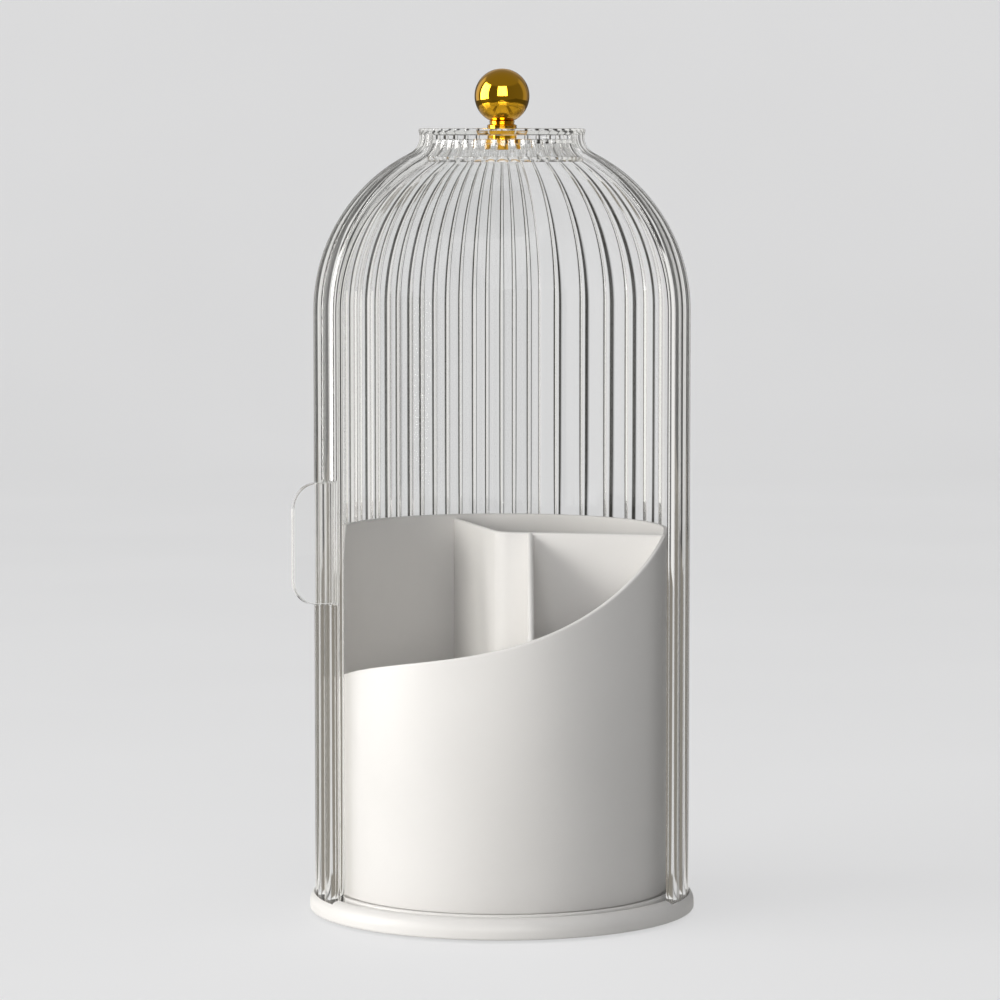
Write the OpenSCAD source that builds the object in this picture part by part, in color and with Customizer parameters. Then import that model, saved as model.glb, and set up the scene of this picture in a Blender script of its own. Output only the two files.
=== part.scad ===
// Rotating makeup organizer with a ribbed, bell-shaped dust cover.
// The origin is the centre of the underside, on the surface that the organizer stands on, with +Z up and
// the open front towards -Y. Azimuths count anticlockwise from +X, seen from above.
// It is drawn with the door slid open, behind the left side of the cover.

/* [Base] */
// Outer diameter of the base
base_d = 150; // [149:1:170]
// Height of the base's top face above the standing surface
base_top = 8.8; // [8.4:0.1:11]
// Radius of the rounded shoulder round the base
base_round = 5; // [3:0.5:6]
// Thickness of the tray's floor
floor_t = 1.6; // [1.4:0.1:2]
// Height of the floor's upper face above the standing surface
floor_z = 5; // [4.8:0.1:5.4]
// Thickness of the plate that closes the base underneath
cover_t = 1.6; // [1.4:0.1:1.8]
// How far the anti-slip ring stands out below the plate
foot_h = 1; // [0.6:0.1:1.4]
// Width of the anti-slip ring
foot_w = 9; // [5:0.5:14]
// Depth of the groove that the shells stand in
groove_depth = 4.2; // [3:0.1:4.6]
// How far the ring round the cup rises above the base's top face
ring_rise = 0.5; // [0.3:0.1:2]
// Thickness of the ring round the cup
ring_t = 1.9; // [1.4:0.1:2.2]

/* [Bearing] */
// Diameter of a bearing ball
ball_d = 3; // [2.6:0.1:3.2]
// Number of bearing balls
ball_n = 12; // [6:1:24]
// Radius of the circle that the balls run on
track_r = 40; // [30:1:44]
// Depth of each ball track
track_depth = 0.6; // [0.4:0.1:0.7]
// Clearance of a ball in its tracks
ball_clear = 0.15; // [0.1:0.05:0.25]
// Radius of the turntable's hub
hub_r = 6; // [5:0.5:8]
// Radial clearance of a running fit
run_clear = 0.05; // [0.02:0.01:0.09]

/* [Cup] */
// Radial gap between the cup and the ring round it
cup_gap = 0.9; // [0.6:0.1:4]
// Thickness of the cup's wall and dividing walls
cup_wall = 2.2; // [1.6:0.1:3]
// Thickness of the cup's floor
cup_floor = 2.4; // [2:0.1:4]
// Height of the cup's rear rim above the standing surface
cup_top = 149.5; // [130:0.5:165]
// Height of the front rim at its left end
rim_left = 88.5; // [70:0.5:100]
// Angle of the rear dividing wall where it meets the cup's rear wall
rear_wall_az = 107; // [95:1:125]
// Angle of the side dividing wall where it meets the cup's right wall
side_wall_az = 350; // [338:1:352]
// Distance of the front dividing wall to the right of the axis
front_wall_x = 11; // [6:1:20]
// Diameter of the boss that takes the pivot screw
boss_d = 9; // [8:0.5:12]

/* [Cover] */
// Outer diameter over the crests of the ribs
cover_d = 146; // [130:0.5:147]
// Height at which the straight wall ends and the shoulder starts
shoulder_z = 234; // [210:1:245]
// Radius of the shoulder's arc
shoulder_r = 68; // [62:0.5:70]
// Radius of the hollow between the shoulder and the neck
neck_round = 7; // [5:0.5:8]
// Outer radius of the neck
neck_r = 31.8; // [30:0.1:34]
// Height of the top face above the middle of the hollow
neck_rise = 3.3; // [2.8:0.1:4.5]
// Wall thickness at a crest of the ribs
shell_t = 2.4; // [2:0.1:2.6]
// Depth of the ribs
rib_depth = 1.2; // [0.6:0.1:1.4]
// Number of ribs that a full turn would hold
rib_n = 40; // [30:2:44]
// Number of ribs that the front opening leaves out
opening_ribs = 14; // [10:1:14]
// Radial gap between the two shells
shell_gap = 0.4; // [0.3:0.05:0.6]
// Thickness of each top plate
plate_t = 2; // [1.6:0.1:2.4]
// Height between the two top plates
plate_gap = 2.1; // [1.6:0.1:3]

/* [Door] */
// Number of ribs on the door
door_ribs = 14; // [14:1:16]
// Width in degrees of the plain strip at the door's leading edge
door_strip = 4; // [3.5:0.1:5]
// Height of the handle above the standing surface, at its lower edge
handle_z = 123; // [90:1:180]
// Length of the handle along the door's edge
handle_len = 47; // [30:1:70]
// How far the handle stands out from the door
handle_out = 18.2; // [12:0.2:24]
// Thickness of the handle
handle_t = 2.4; // [2:0.1:3]
// Radius of the handle's outer corners
handle_round = 10; // [4:0.5:14]

/* [Knob] */
// Diameter of the knob's ball
knob_d = 21.2; // [16:0.1:30]
// Diameter of the stud through the plates
stud_d = 4; // [3:0.5:5]
// Height of the collar under the ball
collar_h = 2.7; // [2.5:0.1:3.4]
// Diameter of the washers and of the collar's foot
washer_d = 11.4; // [10:0.1:14]
// Thickness of the washers
washer_t = 0.6; // [0.4:0.1:1]
// Diameter of the nut under the plates
nut_d = 9.2; // [8:0.1:11]
// Height of the nut under the plates
nut_h = 2.9; // [2:0.1:5]

/* [Hidden] */

white = [0.93, 0.92, 0.9];
clear_plastic = [0.85, 0.88, 0.88, 0.35];
gold = [0.83, 0.62, 0.25];
steel = [0.7, 0.71, 0.73];
soft_grey = [0.35, 0.35, 0.36];

// Overlap of pieces that are drawn as one, and gap of pieces that rest on each other
eps = 0.01;
clear = 0.3;

base_r = base_d / 2;
edge_round = 1;
cover_z = foot_h + cover_t;
groove_z = base_top - groove_depth;
seat_gap = 0.1;
shell_z = groove_z + seat_gap;

// Shells: crest radii of both walls, and what the groove leaves them
pitch = 360 / rib_n;
fixed_r = cover_d / 2;
door_r = fixed_r - shell_t - shell_gap;
door_inner_r = door_r - shell_t;
ring_outer_r = door_inner_r - shell_gap;
ring_inner_r = ring_outer_r - ring_t;
front_az = 270;
opening = opening_ribs * pitch;
left_az = front_az - opening / 2;
right_az = front_az + opening / 2;

// Curve of the shoulder and of the hollow between shoulder and neck, as centres and an angle
shoulder_x = fixed_r - shoulder_r;
hollow_x = neck_r + neck_round;
hollow_z = shoulder_z + sqrt(pow(shoulder_r + neck_round, 2) - pow(hollow_x - shoulder_x, 2));
join_az = atan2(hollow_z - shoulder_z, hollow_x - shoulder_x);
cover_top = hollow_z + neck_rise;

// Handle, and the notch in the left edge of the opening that it rests in while the door is open
handle_half = asin(handle_t / 2 / door_r);
stop_clear = 0.32;
handle_inset = 0.5;
handle_az = left_az - handle_inset - handle_half;
notch = handle_inset + 2 * handle_half + stop_clear;
notch_bottom = handle_z - clear;
notch_top = handle_z + handle_len + clear;
door_start = left_az - door_strip - door_ribs * pitch;

// Stack on the stud, from the top plate down
fixed_plate_z = cover_top - plate_t;
door_plate_top = fixed_plate_z - plate_gap;
door_plate_z = door_plate_top - plate_t;
thrust = 0.1;
bush_r = washer_d / 2 - 0.2;
sleeve_r = stud_d / 2 + 1.5;
lower_washer_top = door_plate_z - thrust;
nut_top = lower_washer_top - washer_t;
nut_z = nut_top - nut_h;
stud_fit = 0.1;
stud_hole_r = stud_d / 2 + stud_fit;
nut_floor = 0.8;
collar_z = cover_top + washer_t;
ball_lift = 1.2;
ball_r = knob_d / 2;
ball_z = collar_z + ball_lift + ball_r;
stud_depth = 6;
stud_top = ball_z - ball_r + stud_depth;

// Bearing stack, from the tray's floor up
bearing_z = floor_z - track_depth + ball_clear + ball_d / 2;
table_z = bearing_z + ball_d / 2 + ball_clear - track_depth;
table_top = base_top;
cup_r = ring_inner_r - cup_gap;
cup_base = table_top + cup_floor;

// Pivot, from the closing plate up: screw head, washer, lower end of the hub
screw_gap = 0.15;
head_t = 0.9;
pivot_washer_t = 0.6;
pivot_head_z = cover_z + screw_gap;
pivot_washer_z = pivot_head_z + head_t;
pivot_end_z = pivot_washer_z + pivot_washer_t;
pivot_floor_z = pivot_end_z + screw_gap;
pivot_washer_r = hub_r + 2.6;
pivot_head_r = 4.6;
pivot_recess_r = pivot_washer_r + 1;
pivot_boss_r = hub_r + 4;
pivot_boss_z = table_z - 0.5;
screw_r = 1.5;
screw_hole_r = screw_r + 0.1;
screw_end_z = cup_base + 8;
boss_z = screw_end_z + 3;

// Drive pegs of the turntable
peg_n = 3;
peg_at = 30;
peg_r = 3;
peg_h = 1.4;
peg_fit = 0.1;

// Closing plate of the base and its screws
plate_r = ring_inner_r;
plate_ledge = 2;
foot_edge = 2;
foot_out_r = plate_r - foot_edge;
foot_in_r = foot_out_r - foot_w;
plate_screw_n = 4;
plate_screw_inset = 5.5;
plate_screw_at = foot_in_r - plate_screw_inset;
plate_screw_r = 1.2;
plate_screw_end = floor_z - 0.8;
plate_head_r = 2.4;
plate_boss_r = 3.4;
screw_fit = 0.2;
foot_sink = 0.6;

// Steps of the two shells: along the hollow, along the shoulder, across one rib
hollow_steps = 4;
dome_steps = 8;
rib_steps = 4;
turn_steps = rib_n * rib_steps;
plate_rows = 3;
cap_rows = plate_rows + hollow_steps - 1;

// Dividing walls of the cup: the rear wall meets the side wall over a short straight piece
wall_knee = [-1, 0];
wall_end = [front_wall_x, -2];
wall_mid_r = cup_r - cup_wall / 2;
wall_top = cup_top - 1.5;
wall_z = table_top + cup_floor / 2;

// Front rim seen from the front, and the drop at its left end seen from the left, as curves
rim_over = 1.4;
rim_curve = [[-cup_r - rim_over, rim_left], [-0.81 * cup_r, rim_left + 25.3],
             [0.39 * cup_r, rim_left + 3.3], [cup_r + rim_over, cup_top + 3]];
drop_front = -8;
drop_rear = 19;
drop_curve = [[drop_front, rim_left - 0.5], [drop_front + 17, rim_left - 0.5],
              [drop_rear - 16, cup_top + 1], [drop_rear, cup_top + 1]];
rim_steps = 20;
drop_steps = 10;
cut_over = 9;

// Point on a cubic curve with four control points
function bezier(p, t) = pow(1 - t, 3) * p[0] + 3 * pow(1 - t, 2) * t * p[1]
    + 3 * (1 - t) * pow(t, 2) * p[2] + pow(t, 3) * p[3];
function curve(p, n) = [for (i = [0:n]) bezier(p, i / n)];

// Height of the front rim at a distance from the middle, found by halving
function rim_at(x, from = 0, to = 1, rounds = 20) = let (
    t = (from + to) / 2,
    p = bezier(rim_curve, t)
) rounds == 0 ? p[1] : p[0] < x ? rim_at(x, t, to, rounds - 1) : rim_at(x, from, t, rounds - 1);

// Share of a rib's height that stands at an azimuth: a round crest and a sharp valley
function rib(az) = let (t = az / pitch) sin(180 * (t - floor(t)));

// Angle on a circle of radius r round the hollow's centre at which height z is reached
function hollow_angle(z, r) = asin(max(-1, min(1, (hollow_z - z) / r)));
function hollow_point(r, a) = [hollow_x - r * cos(a), hollow_z - r * sin(a)];
function dome_point(r, a) = [shoulder_x + r * cos(a), shoulder_z + r * sin(a)];

// Profile of a shell, from the stud's hole out and down, with the whole wall moved inwards by gap.
// Each row is an outer point, an inner point and the share of the rib depth that is used there.
function shell_rows(gap, top_z, hole_r) = let (
    out_r = neck_round + gap,
    in_r = out_r + shell_t,
    under_z = top_z - plate_t,
    edge_r = hollow_x - out_r,
    corner = 0.8,
    out_a = hollow_angle(top_z - corner, out_r),
    in_a = hollow_angle(under_z - corner, in_r),
    dome_r = shoulder_r - gap,
    wall_r = fixed_r - gap
) concat(
    [[[hole_r, top_z], [hole_r, under_z], 0]],
    [[[edge_r - shell_t - 0.2, top_z], [edge_r - shell_t - 1, under_z], 0]],
    [[[edge_r - 0.7, top_z], [hollow_point(in_r, hollow_angle(under_z, in_r))[0], under_z], 0.3]],
    [for (i = [0:hollow_steps]) let (s = i / hollow_steps)
        [hollow_point(out_r, out_a + s * (join_az - out_a)), hollow_point(in_r, in_a + s * (join_az - in_a)),
         0.45 + 0.05 * s]],
    [for (i = [1:dome_steps]) let (s = i / dome_steps)
        [dome_point(dome_r, join_az * (1 - s)), dome_point(dome_r - shell_t, join_az * (1 - s)),
         0.5 + 0.5 * s]],
    [for (z = [notch_top, notch_bottom, shell_z]) [[wall_r, z], [wall_r - shell_t, z], 1]]
);

// A shell on a grid of azimuths and profile rows. Cells that are present get an outer and an inner face,
// and each free edge of a cell gets a side face.
module shell_grid(azimuths, crests, rows, present) {
    n = len(azimuths);
    m = len(rows);
    function place(r, i, z) = [r * cos(azimuths[i]), r * sin(azimuths[i]), z];
    function depth(i, j) = rib_depth * rows[j][2] * (1 - crests[i]);
    points = concat(
        [for (j = [0:m - 1]) for (i = [0:n - 1]) place(rows[j][0][0] - depth(i, j), i, rows[j][0][1])],
        [for (j = [0:m - 1]) for (i = [0:n - 1]) place(rows[j][1][0], i, rows[j][1][1])]
    );
    function has(i, j) = j >= 0 && j < m - 1 && present[j][(i + n) % n];
    function quad(a, b, c, d) = [[a, b, c], [a, c, d]];
    faces = [for (j = [0:m - 2]) for (i = [0:n - 1]) if (has(i, j)) let (
        o1 = j * n + i, o2 = j * n + (i + 1) % n, o3 = o2 + n, o4 = o1 + n,
        k1 = o1 + m * n, k2 = o2 + m * n, k3 = o3 + m * n, k4 = o4 + m * n
    ) each concat(quad(o1, o2, o3, o4), quad(k4, k3, k2, k1),
        has(i - 1, j) ? [] : quad(k1, o1, o4, k4),
        has(i + 1, j) ? [] : quad(o2, k2, k3, o3),
        has(i, j - 1) ? [] : quad(k1, k2, o2, o1),
        has(i, j + 1) ? [] : quad(o4, o3, k3, k4))];
    polyhedron(points = points, faces = faces, convexity = 10);
}

module ring(r_out, r_in, z, h) {
    translate([0, 0, z]) difference() {
        cylinder(r = r_out, h = h, $fn = 96);
        translate([0, 0, -1]) cylinder(r = r_in, h = h + 2, $fn = 96);
    }
}

// Copies of the children round the axis
module around(n, start = 0) {
    for (i = [0:n - 1]) rotate([0, 0, start + i * 360 / n]) children();
}

// Round groove that takes the balls with ball_clear all round
module track() {
    rotate_extrude($fn = 96) translate([track_r, bearing_z]) circle(r = ball_d / 2 + ball_clear, $fn = 32);
}

// Crossed slot in a screw's head, cut from below
module cross_recess(head_r) {
    slot_w = 0.7;
    slot_depth = 0.4;
    for (a = [0, 90]) rotate([0, 0, a]) translate([-head_r * 0.6, -slot_w / 2, -1])
        cube([head_r * 1.2, slot_w, slot_depth + 1]);
}

// Half section of the tray, right of the axis
module tray_section() {
    difference() {
        union() {
            translate([0, foot_h]) square([base_r - edge_round, base_top - base_round - foot_h + eps]);
            translate([0, foot_h + edge_round]) square([base_r, base_top - base_round - foot_h - edge_round]);
            translate([base_r - edge_round, foot_h + edge_round]) circle(r = edge_round, $fn = 32);
            translate([0, base_top - base_round]) square([base_r - base_round, base_round]);
            translate([base_r - base_round, base_top - base_round]) circle(r = base_round, $fn = 64);
            translate([ring_inner_r, floor_z]) square([ring_t, base_top + ring_rise - floor_z - ring_t / 2]);
            translate([ring_inner_r + ring_t / 2, base_top + ring_rise - ring_t / 2])
                circle(r = ring_t / 2, $fn = 32);
        }
        // Trim of the round shoulder below the base
        translate([0, -2 * base_round]) square([base_r + 1, 2 * base_round + foot_h]);
        // Well of the turntable
        translate([-1, floor_z]) square([ring_inner_r + 1, base_top]);
        // Recess of the closing plate, the hollow above it and the pivot's recess
        translate([-1, 0]) square([plate_r + clear + 1, cover_z + eps]);
        translate([pivot_recess_r + 2, 0])
            square([plate_r - plate_ledge - pivot_recess_r - 2, floor_z - floor_t]);
        translate([-1, 0]) square([pivot_recess_r + 1, pivot_floor_z]);
    }
    translate([0, pivot_floor_z]) square([pivot_boss_r, pivot_boss_z - pivot_floor_z]);
}

module base_tray() {
    slot_r = fixed_r + shell_gap;
    slot_clear = 0.4;
    split_r = door_r - shell_t / 2;
    color(white) difference() {
        union() {
            rotate_extrude($fn = 96) tray_section();
            around(plate_screw_n, 45) translate([plate_screw_at, 0, cover_z + eps])
                cylinder(r = plate_boss_r, h = floor_z - cover_z - 0.2, $fn = 32);
        }
        // Groove of the door, all round
        ring(door_r + shell_gap / 2, ring_outer_r, groove_z, groove_depth + ring_rise + 1);
        // Groove of the fixed shell, only where its wall stands
        translate([0, 0, groove_z]) rotate([0, 0, right_az - slot_clear])
            rotate_extrude(angle = 360 - opening + 2 * slot_clear, $fn = 96)
                translate([split_r, 0]) square([slot_r - split_r, groove_depth + 1]);
        track();
        cylinder(r = hub_r + run_clear, h = base_top, $fn = 64);
        around(plate_screw_n, 45) translate([plate_screw_at, 0, 0])
            cylinder(r = plate_screw_r + eps, h = plate_screw_end + 0.2, $fn = 24);
    }
}

module base_cover() {
    color(white) difference() {
        translate([0, 0, foot_h]) cylinder(r = plate_r, h = cover_t, $fn = 96);
        ring(foot_out_r + clear / 2, foot_in_r - clear / 2, 0, foot_h + foot_sink);
        around(plate_screw_n, 45) translate([plate_screw_at, 0, 0]) {
            cylinder(r = plate_screw_r + screw_fit, h = cover_z + 1, $fn = 24);
            cylinder(r = plate_head_r + screw_fit, h = foot_h + head_t, $fn = 32);
        }
    }
}

module cover_screws() {
    head_z = foot_h + eps;
    color(steel) around(plate_screw_n, 45) translate([plate_screw_at, 0, head_z]) {
        difference() {
            cylinder(r = plate_head_r, h = head_t - 2 * eps, $fn = 32);
            cross_recess(plate_head_r);
        }
        translate([0, 0, head_t - 3 * eps])
            cylinder(r = plate_screw_r, h = plate_screw_end - head_z - head_t, $fn = 24);
    }
}

module anti_slip_ring() {
    color(soft_grey) ring(foot_out_r, foot_in_r, 0, foot_h + foot_sink - eps);
}

module ball_cage() {
    cage_t = 1;
    cage_w = 7;
    color(white) difference() {
        ring(track_r + cage_w / 2, track_r - cage_w / 2, bearing_z - cage_t / 2, cage_t);
        around(ball_n) translate([track_r, 0, 0]) cylinder(r = ball_d / 2 + 0.1, h = 2 * bearing_z, $fn = 32);
    }
}

module bearing_balls() {
    color(steel) around(ball_n) translate([track_r, 0, bearing_z]) sphere(r = ball_d / 2, $fn = 32);
}

module turntable() {
    color(white) difference() {
        union() {
            translate([0, 0, table_z]) cylinder(r = cup_r - 0.4, h = table_top - table_z, $fn = 96);
            translate([0, 0, pivot_end_z]) cylinder(r = hub_r, h = table_z - pivot_end_z + eps, $fn = 64);
            around(peg_n) translate([peg_at, 0, table_top - eps]) cylinder(r = peg_r, h = peg_h, $fn = 32);
        }
        track();
        cylinder(r = screw_hole_r, h = table_top + 1, $fn = 32);
    }
}

// Point beside the corner b of a path from a to c, half a wall away, on the mitre of both stretches
function beside(a, b, c, half) = let (
    u = (b - a) / norm(b - a),
    v = (c - b) / norm(c - b),
    m = [-u[1] - v[1], u[0] + v[0]],
    w = m / norm(m)
) b + w * half / (w * [-u[1], u[0]]);

// Dividing wall that runs from the rear wall over the knee to the side wall
module long_wall() {
    half = cup_wall / 2;
    rear = wall_mid_r * [cos(rear_wall_az), sin(rear_wall_az)];
    right = wall_mid_r * [cos(side_wall_az), sin(side_wall_az)];
    path = [2 * rear - wall_knee, rear, wall_knee, wall_end, right, 2 * right - wall_end];
    translate([0, 0, wall_z]) linear_extrude(height = wall_top - wall_z)
        polygon([for (side = [1, -1]) for (i = [1:4]) let (k = side == 1 ? i : 5 - i)
            beside(path[k - 1], path[k], path[k + 1], side * half)]);
}

// Dividing wall that falls from the long wall to the front rim
module front_wall() {
    start_drop = 0.5;
    end_y = -sqrt(pow(wall_mid_r, 2) - pow(front_wall_x, 2));
    translate([front_wall_x - cup_wall / 2, 0, 0]) rotate([90, 0, 90]) linear_extrude(height = cup_wall)
        polygon([[wall_end[1], wall_z - 0.3], [wall_end[1], wall_top - start_drop],
                 [end_y, rim_at(front_wall_x) - 1], [end_y, wall_z - 0.3]]);
}

// Everything above the front rim. On the left it ends at the drop, and on the right it stops by itself where
// the rim reaches full height.
module rim_cut() {
    high = cup_top + cut_over;
    wide = cup_r + cut_over;
    low = rim_left - 0.5;
    intersection() {
        translate([0, drop_rear, 0]) rotate([90, 0, 0]) linear_extrude(height = wide + drop_rear)
            polygon(concat(curve(rim_curve, rim_steps), [[wide, high], [-wide, high], [-wide, rim_left]]));
        union() {
            translate([-wide, 0, 0]) rotate([90, 0, 90]) linear_extrude(height = wide + 1)
                polygon(concat(curve(drop_curve, drop_steps), [[drop_rear, high + 1], [-wide, high + 1],
                                                               [-wide, low]]));
            translate([0, -wide, low]) cube([wide, wide, high + 1 - low]);
        }
    }
}

module cup() {
    color(white) difference() {
        union() {
            difference() {
                translate([0, 0, table_top]) cylinder(r = cup_r, h = cup_top - table_top, $fn = 96);
                translate([0, 0, cup_base]) cylinder(r = cup_r - cup_wall, h = cup_top, $fn = 96);
                rim_cut();
            }
            long_wall();
            front_wall();
            translate([0, 0, table_top + eps]) cylinder(d = boss_d, h = boss_z - table_top, $fn = 48);
        }
        around(peg_n) translate([peg_at, 0, 0])
            cylinder(r = peg_r + peg_fit, h = table_top + peg_h + peg_fit, $fn = 32);
        cylinder(r = screw_r + 2 * eps, h = screw_end_z + 0.5, $fn = 32);
    }
}

module pivot_screw() {
    color(steel) {
        translate([0, 0, pivot_head_z]) difference() {
            cylinder(r = pivot_head_r, h = head_t - eps, $fn = 48);
            cross_recess(pivot_head_r);
        }
        translate([0, 0, pivot_washer_z - 2 * eps])
            cylinder(r = screw_r, h = screw_end_z - pivot_washer_z, $fn = 32);
    }
}

module pivot_washer() {
    color(steel) ring(pivot_washer_r, screw_hole_r, pivot_washer_z, pivot_washer_t - eps);
}

module fixed_shell() {
    opening_cols = opening_ribs * rib_steps;
    last = turn_steps - 1;
    rows = shell_rows(0, cover_top, stud_hole_r);
    azimuths = [for (k = [0:last]) k == last ? left_az + 360 - notch
                                 : left_az + k * 360 / turn_steps];
    // The last but one band is the one with the notch
    notch_row = len(rows) - 3;
    present = [for (j = [0:len(rows) - 2]) [for (k = [0:last])
        j < plate_rows ? true
        : k < opening_cols ? false
        : j != notch_row || k != last]];
    color(clear_plastic) shell_grid(azimuths, [for (a = azimuths) rib(a - left_az)], rows, present);
}

module pivot_sleeve() {
    flange_z = door_plate_top + thrust;
    color(gold) difference() {
        union() {
            translate([0, 0, flange_z]) cylinder(d = washer_d, h = fixed_plate_z - flange_z - eps, $fn = 64);
            translate([0, 0, lower_washer_top + eps])
                cylinder(r = sleeve_r, h = fixed_plate_z - lower_washer_top - 3 * eps, $fn = 64);
        }
        translate([0, 0, nut_z]) cylinder(r = stud_hole_r, h = cover_top - nut_z, $fn = 48);
    }
}

module lower_washer() {
    color(gold) ring(washer_d / 2 - 0.5, stud_hole_r, nut_top + eps, washer_t - eps);
}

module cap_nut() {
    nut_r = nut_d / 2;
    color(gold) difference() {
        rotate_extrude($fn = 64) intersection() {
            translate([0, nut_z]) square([nut_r, nut_h]);
            union() {
                translate([0, nut_z]) square([nut_r - nut_floor, nut_h]);
                translate([0, nut_z + nut_floor]) square([nut_r, nut_h]);
                translate([nut_r - nut_floor, nut_z + nut_floor]) circle(r = nut_floor, $fn = 32);
            }
        }
        translate([0, 0, nut_z + nut_floor]) cylinder(r = stud_hole_r, h = nut_h, $fn = 48);
    }
}

module knob_stud() {
    start_z = nut_z + nut_floor + eps;
    color(steel) translate([0, 0, start_z]) cylinder(d = stud_d, h = stud_top - start_z, $fn = 48);
}

module top_washer() {
    color(gold) ring(washer_d / 2, stud_hole_r, cover_top + eps, washer_t - 2 * eps);
}

module knob_collar() {
    foot_r = washer_d / 2;
    waist_r = foot_r - 0.8;
    foot_edge = 0.6;
    slope_h = 0.8;
    color(gold) difference() {
        translate([0, 0, collar_z]) rotate_extrude($fn = 64)
            polygon([[0, 0], [foot_r, 0], [foot_r, foot_edge], [waist_r, foot_edge + slope_h],
                     [waist_r, collar_h], [0, collar_h]]);
        translate([0, 0, ball_z]) sphere(r = ball_r + 2 * eps, $fn = 96);
        translate([0, 0, cover_top]) cylinder(r = stud_hole_r, h = 2 * collar_h + washer_t, $fn = 48);
    }
}

module knob_ball() {
    color(gold) difference() {
        translate([0, 0, ball_z]) sphere(r = ball_r, $fn = 96);
        translate([0, 0, cover_top]) cylinder(r = stud_hole_r, h = stud_top + 0.2 - cover_top, $fn = 48);
    }
}

module door_shell() {
    strip_edge = 0.6;
    first = door_ribs * rib_steps;
    azimuths = [for (k = [0:turn_steps - 1]) k == first + 1 ? left_az - door_strip + strip_edge
                                           : k == first + 2 ? left_az
                                           : door_start + k * 360 / turn_steps];
    crests = [for (k = [0:turn_steps - 1]) k == first + 1 || k == first + 2 ? 1
                                         : rib(azimuths[k] - door_start)];
    rows = shell_rows(shell_t + shell_gap, door_plate_top, bush_r + 2 * eps);
    present = [for (j = [0:len(rows) - 2]) [for (k = [0:turn_steps - 1]) j < cap_rows || k < first + 2]];
    color(clear_plastic) shell_grid(azimuths, crests, rows, present);
}

module door_bush() {
    color(gold) ring(bush_r, sleeve_r + run_clear, door_plate_z, plate_t);
}

module door_handle() {
    start_r = door_r + 2 * eps;
    reach = handle_out - handle_round;
    color(clear_plastic) rotate([0, 0, handle_az]) translate([start_r, handle_t / 2, handle_z])
        rotate([90, 0, 0]) linear_extrude(height = handle_t) {
            square([reach, handle_len]);
            translate([0, handle_round]) square([handle_out, handle_len - 2 * handle_round]);
            intersection() {
                square([handle_out, handle_len]);
                for (y = [handle_round, handle_len - handle_round]) translate([reach, y])
                    circle(r = handle_round, $fn = 64);
            }
        }
}

base_tray();
base_cover();
cover_screws();
anti_slip_ring();
ball_cage();
bearing_balls();
turntable();
cup();
pivot_screw();
pivot_washer();
fixed_shell();
pivot_sleeve();
lower_washer();
cap_nut();
knob_stud();
top_washer();
knob_collar();
knob_ball();
door_shell();
door_bush();
door_handle();
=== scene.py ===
"""Looks of a rotating makeup organizer with a ribbed, clear, bell-shaped dust cover.

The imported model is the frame. Lengths of the object are written in millimetres, and add_piece turns them into
metres. Azimuths count anticlockwise from +X, seen from above, and the open front faces -Y (270 degrees).
"""

import math

import bmesh
import bpy
from mathutils import Matrix, Vector


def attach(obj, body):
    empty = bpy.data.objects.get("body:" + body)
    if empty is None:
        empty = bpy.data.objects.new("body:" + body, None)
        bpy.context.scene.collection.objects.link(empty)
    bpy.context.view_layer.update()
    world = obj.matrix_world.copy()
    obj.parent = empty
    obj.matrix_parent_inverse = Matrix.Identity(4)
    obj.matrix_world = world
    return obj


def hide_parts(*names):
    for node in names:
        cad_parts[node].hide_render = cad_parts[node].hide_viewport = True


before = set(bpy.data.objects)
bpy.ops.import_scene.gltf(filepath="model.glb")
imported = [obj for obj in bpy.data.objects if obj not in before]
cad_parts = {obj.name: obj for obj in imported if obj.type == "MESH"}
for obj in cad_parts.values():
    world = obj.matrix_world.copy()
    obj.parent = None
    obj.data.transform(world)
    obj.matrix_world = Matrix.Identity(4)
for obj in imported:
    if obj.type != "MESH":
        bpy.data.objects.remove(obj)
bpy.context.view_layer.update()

MM = 0.001

# Sizes that the pieces made here share with the solids

# Base: its rim, floor and foot, the groove for both shells, and the ring inside the groove
BASE_R = 75.0
BASE_TOP = 8.8
BASE_ROUND = 5.0
FLOOR_Z = 5.0
FOOT_H = 1.0
GROOVE_Z = 4.6
RING_OUT = 67.4
RING_IN = 65.5
RING_TOP = 9.3
# The base's ball track, the hub and its bore, and the underside
TRACK_R = 40.0
TRACK_HALF = 1.6
TRACK_Z = 6.05
TRACK_ROUND = 1.65
HUB_R = 10.0
HUB_TOP = 6.6
BORE_R = 6.05
BORE_FOOT = 4.4
CONE_TOP_R = 9.6
CONE_FOOT_R = 11.6
RECESS_R = 63.5
RECESS_TOP = 3.4
SEAT_R = 65.8
SEAT_Z = 2.61

# Cup: its wall, floor and rim, the boss round its blind hole, and the dividing walls
CUP_R = 64.6
CUP_WALL = 2.2
CUP_TOP = 149.5
CUP_BASE = 11.2
CUP_FOOT = 8.8
FOOT_ROUND = 0.8
FLOOR_ROUND = 2.0
BOSS_R = 4.5
BOSS_TOP = 22.2
BOSS_EDGE = 0.5
WALL_TOP = 148.0
FRONT_WALL_X = 11.0
# How far the centre of the rim's rounding lies under its top, as a share of its radius
RIM_FLAT = 0.8

# Shells: the wall, the round shoulder, the hollow neck over it, the plate with its hole, and the ribs. The
# inner shell is smaller by the outer one's thickness and the gap
SHELL_R = 73.0
SHELL_T = 2.4
SHELL_GAP = 0.4
SHELL_Z = 4.7
SHOULDER_Z = 234.0
SHOULDER_R = 68.0
NECK_R = 31.8
NECK_ROUND = 7.0
NECK_RISE = 3.3
PLATE_T = 2.0
PLATE_GAP = 2.1
STUD_HOLE_R = 2.1
BUSH_HOLE_R = 5.52
RIB_DEPTH = 1.2
PITCH = 9.0
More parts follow.
